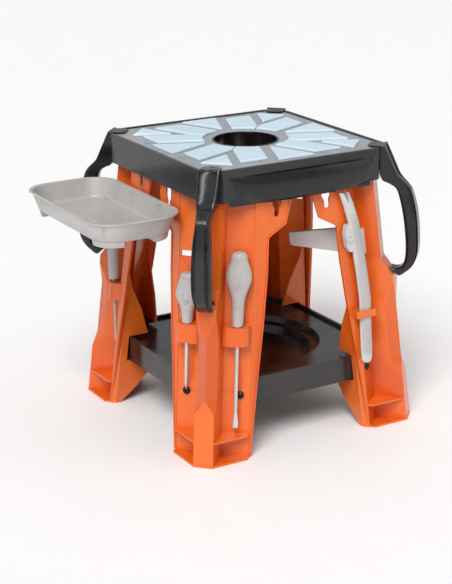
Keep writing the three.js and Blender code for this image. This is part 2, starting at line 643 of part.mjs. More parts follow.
// Drawn with X along the panel, Y up and Z out of the panel, then set over the ring's bore.
function ontoPanel(shape, z = 0) {
  return shape.transform([PANEL_ALONG.x, PANEL_ALONG.y, 0, 0, 0, 0, 1, 0, PANEL_OUT.x, PANEL_OUT.y, 0, 0,
    BORE[0], BORE[1], z, 1]);
}

function panelSlot() {
  return ontoPanel(box(CLAW_ALONG - 8.5, CLAW_ALONG + 8.5, -4.5, 4.5, -30, -2), CLAW_Z + 3);
}

function clawSlot() {
  const half = CLAW_HALF + 1.2;
  return ontoPanel(box(CLAW_ALONG - half, CLAW_ALONG + half, -22, 23, -30, -2), CLAW_Z);
}

function makeHammer() {
  // the bar stands in front of the wing and curves: height, middle, half width, half thickness
  const stations = [[113.5, 115.4, 6, 4], [118, 115.8, 9.5, 5.2], [132.5, 117, 10.5, 5.5], [173.5, 119.9, 10.5, 5.5],
    [215.6, 123.8, 10.6, 5.5], [255, 122.8, 10.6, 5.5], [295.8, 120, 10.6, 5.5], [342.7, 116.2, 10, 5.5],
    [370, 110.4, 9.6, 5.2], [389, 104.6, 9, 5]];
  const bar = loft(stations.map(([z, middle, wide, thick]) => {
    const ring = [];
    for (let i = 0; i < 20; i += 1) {
      const a = (2 * Math.PI * i) / 20;
      ring.push([middle + wide * Math.cos(a), BAR_OUT + thick * Math.sin(a), z]);
    }
    return ring;
  }));
  const block = (out, half, low, high, skew = 0) => [[CLAW_ALONG - half, low + skew, out],
    [CLAW_ALONG + half, low + skew, out], [CLAW_ALONG + half, high + skew, out], [CLAW_ALONG - half, high + skew, out]];
  const claw = loft([block(-118, 2.5, -8, 9, -7), block(-114, 4, -10, 11, -7), block(-24, CLAW_HALF, -19, 20),
    block(4, CLAW_HALF, -19, 20)]);
  // cheek beside the bar, with a round boss
  const cheek = uprightPrism([[118, 296], [103, 296], [98, 304], [97, 326], [101, 338], [118, 340]],
    BAR_OUT - 5, BAR_OUT + 4, 'y');
  const round = (radius, low, high) => cylinder(radius, radius, low, high, 0, 0, 24)
    .transform([1, 0, 0, 0, 0, 0, -1, 0, 0, 1, 0, 0, 103.5, 0, 318, 1]);
  const boss = round(6.5, BAR_OUT + 2, BAR_OUT + 6).subtract(round(4, BAR_OUT + 4.6, BAR_OUT + 8));
  const notch = uprightPrism([[100.5, 391], [109, 372], [109.5, 391]], BAR_OUT - 10, BAR_OUT + 10, 'y');
  return join([bar, ontoPanel(claw, CLAW_Z), cheek, boss]).subtract(notch);
}

// ---- assembly ----
const bench = new THREE.Group();

function place(name, shape, colour) {
  const mesh = shape.getMesh();
  const geometry = new THREE.BufferGeometry();
  geometry.setAttribute('position', new THREE.Float32BufferAttribute(mesh.vertProperties, 3));
  geometry.setIndex(Array.from(mesh.triVerts));
  geometry.computeVertexNormals();
  const [hex, roughness, metalness] = COLOURS[colour];
  const piece = new THREE.Mesh(geometry, new THREE.MeshStandardMaterial({ color: hex, roughness, metalness }));
  piece.name = name;
  bench.add(piece);
}

place('table_frame', makeFrame(), 'black');
place('top_panel', makePanel(), 'panelGrey');
place('hole_collar', makeCollar(), 'panelGrey');
for (let k = 0; k < 8; k += 1) {
  place(`tile_bar_${k + 1}`, bevelled(barOutline(k), PANEL_Z + GAP, TILE_TOP), 'paleBlue');
  place(`tile_wedge_${k + 1}`, bevelled(wedgeOutline(k), PANEL_Z + GAP, TILE_TOP), 'paleBlue');
}
const SIDES = ['front', 'right', 'back', 'left'];
CORNERS.forEach(([sx, sy], i) => {
  place(`leg_${SIDES[i]}`, makeLeg(sx, sy, SIDES[i] === 'right'), 'orange');
  place(`handle_${SIDES[i]}`, makeHandle(sx, sy), 'black');
  place(`shelf_screw_${SIDES[i]}_1`, makeShelfScrew(sx, sy, false), 'screw');
  place(`shelf_screw_${SIDES[i]}_2`, makeShelfScrew(sx, sy, true), 'screw');
});
place('shelf', makeShelf(), 'shelfBlack');
place('tray', makeTray(), 'toolGrey');
place('tray_post', makePost(), 'toolGrey');
place('driver_handle_flat', toCorner(lean(makeDriverHandle(113, 0.66)), -1, -1), 'toolGrey');
place('driver_shaft_flat', toCorner(lean(makeDriverShaft(52, true)), -1, -1), 'steel');
place('driver_handle_cross', toCorner(lean(mirrorDiagonal(makeDriverHandle(77, 0.56))), -1, -1), 'toolGrey');
place('driver_shaft_cross', toCorner(lean(mirrorDiagonal(makeDriverShaft(108, false))), -1, -1), 'steel');
place('hammer', toCorner(lean(makeHammer()), 1, -1), 'toolGrey');

export default bench;
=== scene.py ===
"""Looks for the toy workbench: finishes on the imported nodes, and finer pieces where the solids are plain."""

import logging
import math
from dataclasses import dataclass, field
from enum import Enum
from typing import Callable, Iterable, Sequence

import bmesh
import bpy
from mathutils import Matrix, Vector


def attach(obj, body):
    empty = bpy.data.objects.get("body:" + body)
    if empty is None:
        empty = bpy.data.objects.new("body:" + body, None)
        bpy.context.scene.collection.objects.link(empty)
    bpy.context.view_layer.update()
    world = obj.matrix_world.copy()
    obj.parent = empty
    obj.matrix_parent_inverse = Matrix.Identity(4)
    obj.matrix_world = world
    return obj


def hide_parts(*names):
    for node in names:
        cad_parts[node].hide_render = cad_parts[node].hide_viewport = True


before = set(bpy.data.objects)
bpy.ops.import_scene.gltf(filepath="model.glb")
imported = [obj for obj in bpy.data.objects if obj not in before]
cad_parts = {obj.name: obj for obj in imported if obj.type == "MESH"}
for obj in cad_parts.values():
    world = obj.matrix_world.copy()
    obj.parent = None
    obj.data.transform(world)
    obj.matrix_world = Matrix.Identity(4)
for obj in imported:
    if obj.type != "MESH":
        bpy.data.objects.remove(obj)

LOG = logging.getLogger("workbench")
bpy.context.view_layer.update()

Point = tuple[float, float, float]
Ring = list[Point]

MM = 0.001
DIAGONAL = math.sqrt(0.5)          # sine and cosine of 45 degrees
FULL_TURN = 2.0 * math.pi
SPLAY = 0.085                      # lean of the legs along X and along Y
SIDES = {"front": (-1, -1), "right": (1, -1), "back": (1, 1), "left": (-1, 1)}
BORE = (138.9, 194.4)              # axis of the tool rings at foot level, in mm
ALONG = Vector((-35.0, 28.0, 0.0)).normalized()   # along the recessed wing panel
OUT = Vector((ALONG.y, -ALONG.x, 0.0))            # out of that panel
TOP_HALF = 168.0
TOP_CHAMFER = 29.0
TOP_Z = 450.0
TAB_SCREW_SEAT = TOP_HALF - 24.0   # x and y of the screw that holds a handle's tab

# Depths and frequencies that all finishes share, in metres and in cycles per metre
COAT_ROUGHNESS = 0.08
GLOW_RADIUS = (0.004, 0.0015, 0.0008)
WAVE_HEIGHT = 0.004
GRAIN_HEIGHT = 0.0004
MOTTLE_PER_M = 9.0
FLOW_PER_M = 60.0
HANDLING_PER_M = 28.0
SCRATCHES_PER_M = 420.0
WAVES_PER_M = 16.0
FLOW_STRETCH = (1.0, 1.0, 0.25)
SCRATCH_STRETCH = (1.0, 0.08, 0.3)
LEAST_ROUGHNESS = 0.03
WELD_DISTANCE = 1e-6               # metres, for new pieces
NODE_WELD_DISTANCE = 2e-6          # metres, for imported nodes


class Slot(Enum):
    """The record's material slots."""

    ORANGE = "orange_plastic"
    BLACK = "black_plastic"
    SHELF = "shelf_plastic"
    PANEL = "panel_plastic"
    TILE = "tile_plastic"
    TOOL = "tool_plastic"
    SHAFT = "shaft_metal_look"
    SCREW = "screw_steel"


class Body(Enum):
    """The rigid bodies that pieces ride on."""

    BENCH = "bench"
    POST = "post"
    TRAY = "tray"
    FLAT_DRIVER = "driver_flat"
    CROSS_DRIVER = "driver_cross"


# ---------------------------------------------------------------- finishes
@dataclass(frozen=True)
class MouldedFinish:
    """A moulded plastic or metal surface with mottling, fine grain, scuffs and lighter convex edges, partly
    rubbing and partly a painted edge highlight.

    Attributes:
        name: Name of the material.
        colour: Base colour, linear red, green and blue.
        edge_wear_and_highlight_colour: Colour of the lighter edges, partly rubbing and partly a painted edge
            highlight.
        roughness: Mean roughness.
        roughness_spread: How far the roughness wanders.
        metallic: Metallic value.
        coat: Weight of the clear skin.
        mottle: Strength of the broad colour variation.
        grain_per_m: Frequency of the fine surface grain.
        grain_depth: Strength of the fine bump.
        waves: Strength of the slow moulding waviness.
        edge_wear_and_highlight: Strength of the lighter edges, partly rubbing and partly a painted edge
            highlight.
        glow: Subsurface weight, for plastic that passes some light.
        stretch: Scale of the broad patterns along each axis.
    """

    name: str
    colour: Point
    edge_wear_and_highlight_colour: Point
    roughness: float
    roughness_spread: float = 0.12
    metallic: float = 0.0
    coat: float = 0.0
    mottle: float = 0.12
    grain_per_m: float = 1400.0
    grain_depth: float = 0.06
    waves: float = 0.05
    edge_wear_and_highlight: float = 0.25
    glow: float = 0.0
    stretch: Point = (1.0, 1.0, 1.0)

    def build(self) -> bpy.types.Material:
        """Make the node material.

        Returns:
            The finished material.
        """
        material = bpy.data.materials.new(self.name)
        material.use_nodes = True
        nodes = material.node_tree.nodes
        shader = nodes["Principled BSDF"]
        shader.inputs["Metallic"].default_value = self.metallic
        shader.inputs["Coat Weight"].default_value = self.coat
        shader.inputs["Coat Roughness"].default_value = COAT_ROUGHNESS
        shader.inputs["Subsurface Weight"].default_value = self.glow
        shader.inputs["Subsurface Radius"].default_value = GLOW_RADIUS
        self._colour(material, shader)
        self._roughness(material, shader)
        self._bump(material, shader)
        material.diffuse_color = (*self.colour, 1.0)
        return material

    def _noise(self, material: bpy.types.Material, scale: float, detail: float,
               stretch: Point = (1.0, 1.0, 1.0)) -> bpy.types.NodeSocket:
        """Add a noise texture in object space.

        Args:
            material: Material to add to.
            scale: Frequency in cycles per metre.
            detail: Octaves.
            stretch: Scale along each axis.

        Returns:
            The noise's value socket.
        """
        nodes, links = material.node_tree.nodes, material.node_tree.links
        place = nodes.new("ShaderNodeTexCoord")
        mapping = nodes.new("ShaderNodeMapping")
        mapping.inputs["Scale"].default_value = stretch
        noise = nodes.new("ShaderNodeTexNoise")
        noise.inputs["Scale"].default_value = scale
        noise.inputs["Detail"].default_value = detail
        links.new(place.outputs["Object"], mapping.inputs["Vector"])
        links.new(mapping.outputs["Vector"], noise.inputs["Vector"])
        return noise.outputs["Fac"]

    def _spread(self, material: bpy.types.Material, value: bpy.types.NodeSocket,
                low: float, high: float, start: float = 0.35, end: float = 0.65) -> bpy.types.NodeSocket:
        """Map a noise value onto a range.

        Args:
            material: Material to add to.
            value: Input socket.
            low: Output at the low end.
            high: Output at the high end.
            start: Input that gives low.
            end: Input that gives high.

        Returns:
            The mapped socket.
        """
        spread = material.node_tree.nodes.new("ShaderNodeMapRange")
        spread.inputs["From Min"].default_value = start
        spread.inputs["From Max"].default_value = end
        spread.inputs["To Min"].default_value = low
        spread.inputs["To Max"].default_value = high
        material.node_tree.links.new(value, spread.inputs["Value"])
        return spread.outputs["Result"]

    def _blend(self, material: bpy.types.Material, factor: bpy.types.NodeSocket,
               first: bpy.types.NodeSocket | Point, second: Point) -> bpy.types.NodeSocket:
        """Mix two colours.

        Args:
            material: Material to add to.
            factor: Mixing socket.
            first: Colour or socket at factor 0.
            second: Colour at factor 1.

        Returns:
            The mixed colour socket.
        """
        mix = material.node_tree.nodes.new("ShaderNodeMix")
        mix.data_type = "RGBA"
        links = material.node_tree.links
        links.new(factor, mix.inputs["Factor"])
        if isinstance(first, bpy.types.NodeSocket):
            links.new(first, mix.inputs["A"])
        else:
            mix.inputs["A"].default_value = (*first, 1.0)
        mix.inputs["B"].default_value = (*second, 1.0)
        return mix.outputs["Result"]

    def _colour(self, material: bpy.types.Material, shader: bpy.types.Node) -> None:
        """Drive the base colour by mottling, flow marks and lighter convex edges, partly rubbing and partly a
        painted edge highlight.

        Args:
            material: Material to add to.
            shader: Its surface shader.
        """
        darker = tuple(c * (1.0 - self.mottle) for c in self.colour)
        lighter = tuple(min(1.0, c * (1.0 + self.mottle) + 0.002) for c in self.colour)
        broad = self._spread(material, self._noise(material, MOTTLE_PER_M, 3.0, self.stretch), 0.0, 1.0)
        colour = self._blend(material, broad, self.colour, darker)
        streaks = self._noise(material, FLOW_PER_M, 5.0, FLOW_STRETCH)
        flow = self._spread(material, streaks, 0.0, 0.5, 0.5, 0.75)
        colour = self._blend(material, flow, colour, lighter)
        geometry = material.node_tree.nodes.new("ShaderNodeNewGeometry")
        # Convex edges, found by pointiness, are lightened towards the edge colour: partly rubbing, partly a
        # painted edge highlight.
        edge = self._spread(material, geometry.outputs["Pointiness"], 0.0, self.edge_wear_and_highlight, 0.52, 0.62)
        colour = self._blend(material, edge, colour, self.edge_wear_and_highlight_colour)
        material.node_tree.links.new(colour, shader.inputs["Base Color"])

    def _roughness(self, material: bpy.types.Material, shader: bpy.types.Node) -> None:
        """Drive the roughness by handling marks and long fine scratches.

        Args:
            material: Material to add to.
            shader: Its surface shader.
        """
        half = self.roughness_spread / 2.0
        marks = self._spread(material, self._noise(material, HANDLING_PER_M, 6.0, self.stretch),
                             max(LEAST_ROUGHNESS, self.roughness - half), min(1.0, self.roughness + half))
        lines = self._noise(material, SCRATCHES_PER_M, 2.0, SCRATCH_STRETCH)
        scratches = self._spread(material, lines, 0.0, self.roughness_spread, 0.62, 0.72)
        total = material.node_tree.nodes.new("ShaderNodeMath")
        total.operation = "ADD"
        total.use_clamp = True
        material.node_tree.links.new(marks, total.inputs[0])
        material.node_tree.links.new(scratches, total.inputs[1])
        material.node_tree.links.new(total.outputs["Value"], shader.inputs["Roughness"])

    def _bump(self, material: bpy.types.Material, shader: bpy.types.Node) -> None:
        """Add slow moulding waviness and a fine grain.

        Args:
            material: Material to add to.
            shader: Its surface shader.
        """
        nodes, links = material.node_tree.nodes, material.node_tree.links
        slow = nodes.new("ShaderNodeBump")
        slow.inputs["Strength"].default_value = self.waves
        slow.inputs["Distance"].default_value = WAVE_HEIGHT
        links.new(self._noise(material, WAVES_PER_M, 2.0), slow.inputs["Height"])
        fine = nodes.new("ShaderNodeBump")
        fine.inputs["Strength"].default_value = self.grain_depth
        fine.inputs["Distance"].default_value = GRAIN_HEIGHT
        links.new(self._noise(material, self.grain_per_m, 3.0, self.stretch), fine.inputs["Height"])
        links.new(slow.outputs["Normal"], fine.inputs["Normal"])
        links.new(fine.outputs["Normal"], shader.inputs["Normal"])


# The second colour of each finish lightens its convex edges: partly rubbing, partly a painted edge highlight.
FINISHES: dict[Slot, MouldedFinish] = {
    Slot.ORANGE: MouldedFinish("orange_gloss", (0.7, 0.1, 0.006), (0.93, 0.24, 0.035), 0.26, 0.1,
                               coat=0.15, mottle=0.09, grain_per_m=900.0, grain_depth=0.04, waves=0.06,
                               edge_wear_and_highlight=0.3, glow=0.035),
    Slot.BLACK: MouldedFinish("black_gloss", (0.004, 0.0042, 0.005), (0.04, 0.04, 0.043), 0.17, 0.1,
                              mottle=0.25, grain_per_m=1600.0, grain_depth=0.07, waves=0.05, edge_wear_and_highlight=0.35),
    Slot.SHELF: MouldedFinish("shelf_satin", (0.009, 0.008, 0.0075), (0.09, 0.085, 0.08), 0.22, 0.12,
                              coat=0.1, mottle=0.25, grain_per_m=1100.0, grain_depth=0.06, waves=0.1,
                              edge_wear_and_highlight=0.6),
    Slot.PANEL: MouldedFinish("panel_satin", (0.33, 0.345, 0.365), (0.6, 0.62, 0.64), 0.42, 0.16,
                              mottle=0.1, grain_per_m=1800.0, grain_depth=0.12, waves=0.05, edge_wear_and_highlight=0.4),
    Slot.TILE: MouldedFinish("tile_pale_blue", (0.58, 0.73, 0.82), (0.9, 0.96, 0.99), 0.45, 0.14,
                             mottle=0.06, grain_per_m=1500.0, grain_depth=0.1, waves=0.05, edge_wear_and_highlight=0.5),
    Slot.TOOL: MouldedFinish("tool_warm_grey", (0.44, 0.425, 0.415), (0.72, 0.71, 0.7), 0.4, 0.14,
                             coat=0.1, mottle=0.08, grain_per_m=1300.0, grain_depth=0.08, waves=0.06,
                             edge_wear_and_highlight=0.45, glow=0.04),
    Slot.SHAFT: MouldedFinish("shaft_silver", (0.62, 0.6, 0.59), (0.9, 0.9, 0.9), 0.28, 0.16, metallic=0.55,
                              mottle=0.08, grain_per_m=900.0, grain_depth=0.08, stretch=(1.0, 1.0, 0.06)),
    Slot.SCREW: MouldedFinish("screw_blackened", (0.012, 0.0115, 0.011), (0.2, 0.19, 0.18), 0.32, 0.2,
                              metallic=0.8, mottle=0.3, grain_per_m=2500.0, grain_depth=0.15, edge_wear_and_highlight=0.7),
}


class FinishShelf:
    """Builds each finish once and hands it out."""

    def __init__(self) -> None:
        """Start with nothing built."""
        self._made: dict[Slot, bpy.types.Material] = {}

    def get(self, slot: Slot) -> bpy.types.Material:
        """Return the slot's material, building it on first use."""
        if slot not in self._made:
            self._made[slot] = FINISHES[slot].build()
        return self._made[slot]


# ---------------------------------------------------------------- mesh helpers
def lean(point: Sequence[float]) -> Point:
    """Lean a point, given at foot level in the (+, +) quarter and in mm, with its leg."""
    x, y, z = point
    return (x - SPLAY * z, y - SPLAY * z, z)


def to_quarter(points: Iterable[Point], side: str, swap: bool = False, leaning: bool = True) -> list[Point]:
    """Carry points from the (+, +) quarter to a corner of the table, in metres.

    Args:
        points: Points in mm.
        side: Name of the corner.
        swap: Mirror in the diagonal first, for the corner's other wing.
        leaning: Whether the points lean with the leg.

    Returns:
        The points in metres.
    """
    sx, sy = SIDES[side]
    moved = []
    for point in points:
        x, y, z = lean(point) if leaning else point
        if swap:
            x, y = y, x
        moved.append((sx * x * MM, sy * y * MM, z * MM))
    return moved


def skin(rings: Sequence[Ring], cap_ends: bool = True) -> tuple[list[Point], list[list[int]]]:
    """Join rings of equal length into a closed skin.

    Args:
        rings: The rings, in order.
        cap_ends: Whether to close the first and last ring.

    Returns:
        Vertices and faces.
    """
    count = len(rings[0])
    points = [p for ring in rings for p in ring]
    faces = []
    for level in range(len(rings) - 1):
        for i in range(count):
            j = (i + 1) % count
            a, b = level * count + i, level * count + j
            faces.append([a, b, b + count, a + count])
    if cap_ends:
        faces.append(list(range(count))[::-1])
        last = (len(rings) - 1) * count
        faces.append([last + i for i in range(count)])
    return points, faces


def make_object(name: str, points: Sequence[Point], faces: Sequence[Sequence[int]]) -> bpy.types.Object:
    """Make a mesh object with outward normals and smooth faces.

    Args:
        name: Name of the piece.
        points: Vertices in metres.
        faces: Faces as lists of vertex numbers.

    Returns:
        The new object.
    """
    mesh = bpy.data.meshes.new(name)
    mesh.from_pydata([tuple(p) for p in points], [], [list(f) for f in faces])
    work = bmesh.new()
    work.from_mesh(mesh)
    bmesh.ops.remove_doubles(work, verts=work.verts, dist=WELD_DISTANCE)
    bmesh.ops.recalc_face_normals(work, faces=work.faces)
    work.to_mesh(mesh)
    work.free()
    for polygon in mesh.polygons:
        polygon.use_smooth = True
    piece = bpy.data.objects.new(name, mesh)
    bpy.context.scene.collection.objects.link(piece)
    return piece


def merge(name: str, parts: Sequence[tuple[Sequence[Point], Sequence[Sequence[int]]]]) -> bpy.types.Object:
    """Make one object from several skins.

    Args:
        name: Name of the piece.
        parts: Pairs of vertices and faces.

    Returns:
        The new object.
    """
    points: list[Point] = []
    faces: list[list[int]] = []
    for some_points, some_faces in parts:
        start = len(points)
        points.extend(some_points)
        faces.extend([[start + i for i in face] for face in some_faces])
    return make_object(name, points, faces)


def soften(piece: bpy.types.Object, width: float, segments: int = 2, weld: bool = False,
           angle: float = 30.0) -> None:
    """Round the edges with a bevel and even out the shading.

    Args:
        piece: Object to soften.
        width: Bevel width in metres.
        segments: Bevel segments.
        weld: Whether to weld the faces first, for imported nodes.
        angle: Edges sharper than this, in degrees, are rounded.
    """
    if weld:
        welded = piece.modifiers.new("weld", "WELD")
        welded.merge_threshold = NODE_WELD_DISTANCE
    bevel = piece.modifiers.new("soft_edges", "BEVEL")
    bevel.width = width
    bevel.segments = segments
    bevel.limit_method = "ANGLE"
    bevel.angle_limit = math.radians(angle)
    bevel.miter_outer = "MITER_ARC"
    bevel.use_clamp_overlap = True
    even = piece.modifiers.new("even_shading", "WEIGHTED_NORMAL")
    even.keep_sharp = False
    even.weight = 60


def closed_tube(path: Sequence[Vector], radius: float, sides: int) -> tuple[list[Point], list[list[int]]]:
    """Sweep a round section along a path that closes on itself.

    Args:
        path: Points in mm.
        radius: Radius in mm.
        sides: Points round the section.

    Returns:
        Vertices and faces, in mm.
    """
    upright = 0.9
    count = len(path)
    rings: list[Ring] = []
    for i, point in enumerate(path):
        tangent = (path[(i + 1) % count] - path[(i - 1) % count]).normalized()
        helper = Vector((0.0, 0.0, 1.0)) if abs(tangent.z) < upright else Vector((1.0, 0.0, 0.0))
        first = tangent.cross(helper).normalized()
        second = tangent.cross(first).normalized()
        ring = []
        for k in range(sides):
            turn = FULL_TURN * k / sides
            ring.append(tuple(point + first * (radius * math.cos(turn)) + second * (radius * math.sin(turn))))
        rings.append(ring)
    return skin([*rings, rings[0]], cap_ends=False)


def smooth_path(points: Sequence[Sequence[float]], steps: int) -> list[list[float]]:
    """Run a Catmull-Rom curve through points of any dimension.

    Args:
        points: The points to pass through.
        steps: Samples between two points.

    Returns:
        The sampled points.
    """
    padded = [points[0], *points, points[-1]]
    result: list[list[float]] = []
    for i in range(1, len(padded) - 2):
        p0, p1, p2, p3 = padded[i - 1:i + 3]
        for k in range(steps):
            t = k / steps
            result.append([0.5 * (2 * b + (c - a) * t + (2 * a - 5 * b + 4 * c - d) * t * t
                                  + (3 * b - a - 3 * c + d) * t ** 3)
                           for a, b, c, d in zip(p0, p1, p2, p3)])
    result.append(list(points[-1]))
    return result


@dataclass
class Assembly:
    """Base of every sub-assembly: knows the finishes and reports its pieces."""

    finishes: FinishShelf

    def dress_node(self, name: str, slot: Slot, width: float = 0.7, segments: int = 2) -> None:
        """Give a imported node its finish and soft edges.

        Args:
            name: The node's name.
            slot: Finish to use.
            width: Edge rounding in mm.
            segments: Steps of the rounding.
        """
        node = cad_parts[name]
        node.data.materials.clear()
        node.data.materials.append(self.finishes.get(slot))
        for polygon in node.data.polygons:
            polygon.use_smooth = True
        soften(node, width * MM, segments, weld=True)
        LOG.info("dressed %s with %s", name, slot.value)

    def add_piece(self, piece: bpy.types.Object, slot: Slot, body: Body,
                  stands_for: Sequence[str] = ()) -> None:
        """Finish a new piece and set it on its body.

        Args:
            piece: The new object.
            slot: Finish to use.
            body: Body to ride on.
            stands_for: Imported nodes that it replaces.
        """
        piece.data.materials.append(self.finishes.get(slot))
        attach(piece, body.value)
        if stands_for:
            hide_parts(*stands_for)
        LOG.info("made %s on %s", piece.name, body.value)


# ---------------------------------------------------------------- sub-assemblies
@dataclass
class TableTop(Assembly):
    """The black frame, the grey panel, the collar and the sixteen blue tiles."""

    tiles_per_kind: int = 8

    def build(self) -> None:
        """Dress the nodes of the top."""
        self.dress_node("table_frame", Slot.BLACK, 1.0, 3)
        self.dress_node("top_panel", Slot.PANEL, 0.5)
        self.dress_node("hole_collar", Slot.BLACK, 0.3)
        for number in range(1, self.tiles_per_kind + 1):
            self.dress_node(f"tile_bar_{number}", Slot.TILE, 0.35)
            self.dress_node(f"tile_wedge_{number}", Slot.TILE, 0.35)


@dataclass
class Legs(Assembly):
    """The four splayed legs with their shelf screws."""

    edge: float = 0.8

    def build(self) -> None:
        """Dress the legs and screws."""
        for side in SIDES:
            self.dress_node(f"leg_{side}", Slot.ORANGE, self.edge)
            self.dress_node(f"shelf_screw_{side}_1", Slot.SCREW, 0.4)
            self.dress_node(f"shelf_screw_{side}_2", Slot.SCREW, 0.4)


@dataclass
class LowerShelf(Assembly):
    """The dark shelf with its round stepped bowl."""

    def build(self) -> None:
        """Dress the shelf."""
        self.dress_node("shelf", Slot.SHELF, 1.2, 3)


@dataclass
class CornerHandle(Assembly):
    """A corner grab handle: tab on the top, channelled strap, round grip and hook.

    The stations run from the table's top to the hook. Each one gives the outer point, the inner point, half
    the width, the rounding and the depth of the channel, with places as (distance on the diagonal, height).
    """

    side: str = "front"
    stations: list[tuple[float, ...]] = field(default_factory=lambda: [
        (223.4, 452.6, 217.9, 451.0, 16.0, 0.9, 0.0),
        (226.6, 447.0, 217.9, 445.0, 16.0, 0.9, 2.0),
        (234.0, 431.0, 217.9, 428.0, 15.8, 0.9, 2.2),
        (242.4, 413.0, 217.9, 409.0, 14.6, 1.0, 2.2),
        (247.6, 403.5, 222.0, 396.8, 13.2, 1.4, 1.8),
        (254.5, 396.6, 231.5, 391.8, 11.6, 3.0, 0.6),
        (263.8, 387.0, 242.0, 384.4, 10.7, 5.0, 0.0),
        (269.6, 375.5, 247.4, 372.5, 11.2, 6.0, 0.0),
        (277.0, 344.0, 254.6, 343.6, 14.3, 8.0, 0.0),
        (280.3, 308.0, 259.6, 308.0, 15.5, 8.5, 0.0),
        (279.8, 279.0, 260.8, 281.0, 15.0, 8.0, 0.0),
        (273.0, 260.6, 258.4, 264.2, 13.6, 6.0, 0.0),
        (262.0, 249.2, 251.4, 256.4, 12.8, 4.4, 0.0),
        (252.4, 242.6, 243.8, 254.8, 12.2, 3.6, 0.0),
        (245.4, 246.6, 238.2, 255.8, 12.0, 3.0, 0.0),
    ])
    corner_steps: int = 4
    depth_share: float = 0.48
    width_share: float = 0.95
    lip: float = 2.6
    lip_share: float = 0.3
    lip_slope: float = 0.9
    samples: int = 4
    edge_angle: float = 38.0

    def ring(self, station: Sequence[float]) -> Ring:
        """Make the section at a station.

        Args:
            station: One row of the stations.

        Returns:
            The section's outline in mm, at the (+, +) corner.
        """
        outer_d, outer_z, inner_d, inner_z, half, rounding, channel = station
        outer, inner = Vector((outer_d, outer_z)), Vector((inner_d, inner_z))
        axis = outer - inner
        depth = axis.length
        axis.normalize()
        r = min(rounding, depth * self.depth_share, half * self.width_share)
        right: list[tuple[float, float]] = []
        for x, y, start in [(half - r, r, -90.0), (half - r, depth - r, 0.0)]:
            for k in range(self.corner_steps + 1):
                turn = math.radians(start + 90.0 * k / self.corner_steps)
                right.append((x + r * math.cos(turn), y + r * math.sin(turn)))
        inset = min(self.lip, half * self.lip_share)
        right.append((half - inset, depth))
        right.append((half - inset - self.lip_slope, depth - channel))
        left = [(-x, y) for x, y in reversed(right)]
        points = []
        for across, up in [*right, *left]:
            d, z = inner + axis * up
            points.append(((d - across) * DIAGONAL, (d + across) * DIAGONAL, z))
        return points

    def tab(self) -> tuple[list[Point], list[list[int]]]:
        """Make the tab that lies on the table's top.

        Returns:
            Vertices and faces, in mm, at the (+, +) corner.
        """
        centre = (2.0 * TOP_HALF - TOP_CHAMFER) / 2.0
        outline = [(8.0, 15.0), (-13.0, 15.0), (-20.0, 9.0), (-20.0, -9.0), (-13.0, -15.0), (8.0, -15.0)]
        rings = []
        for height, inset in [(0.4, 0.0), (1.1, 0.0), (1.5, 0.5)]:
            ring = []
            for d, across in outline:
                d -= math.copysign(inset, d)
                across -= math.copysign(inset, across)
                x = centre + (d + across) * DIAGONAL
                y = centre + (d - across) * DIAGONAL
                ring.append((x, y, TOP_Z + height))
            rings.append(ring)
        return skin(rings)

    def build(self) -> None:
        """Build the handle and its tab screw."""
        stations = smooth_path(self.stations, self.samples)
        rings = [to_quarter(self.ring(s), self.side, leaning=False) for s in stations]
        strap = skin(rings)
        tab_points, tab_faces = self.tab()
        tab = (to_quarter(tab_points, self.side, leaning=False), tab_faces)
        piece = merge(f"corner_handle_{self.side}", [strap, tab])
        soften(piece, 0.5 * MM, angle=self.edge_angle)
        self.add_piece(piece, Slot.BLACK, Body.BENCH, [f"handle_{self.side}"])
        self.build_screw()

    def build_screw(self) -> None:
        """Build the low round cap of the screw that holds the tab."""
        count = 20
        rings = []
        for radius, height in [(1.0, 1.2), (1.5, 1.6), (2.4, 1.7), (3.2, 1.5), (3.4, 1.1)]:
            turns = [FULL_TURN * k / count for k in range(count)]
            ring = [(TAB_SCREW_SEAT + radius * math.cos(turn), TAB_SCREW_SEAT + radius * math.sin(turn),
                     TOP_Z + height) for turn in turns]
            rings.append(to_quarter(ring, self.side, leaning=False))
        points, faces = skin(rings)
        self.add_piece(make_object(f"tab_screw_{self.side}", points, faces), Slot.SCREW, Body.BENCH)


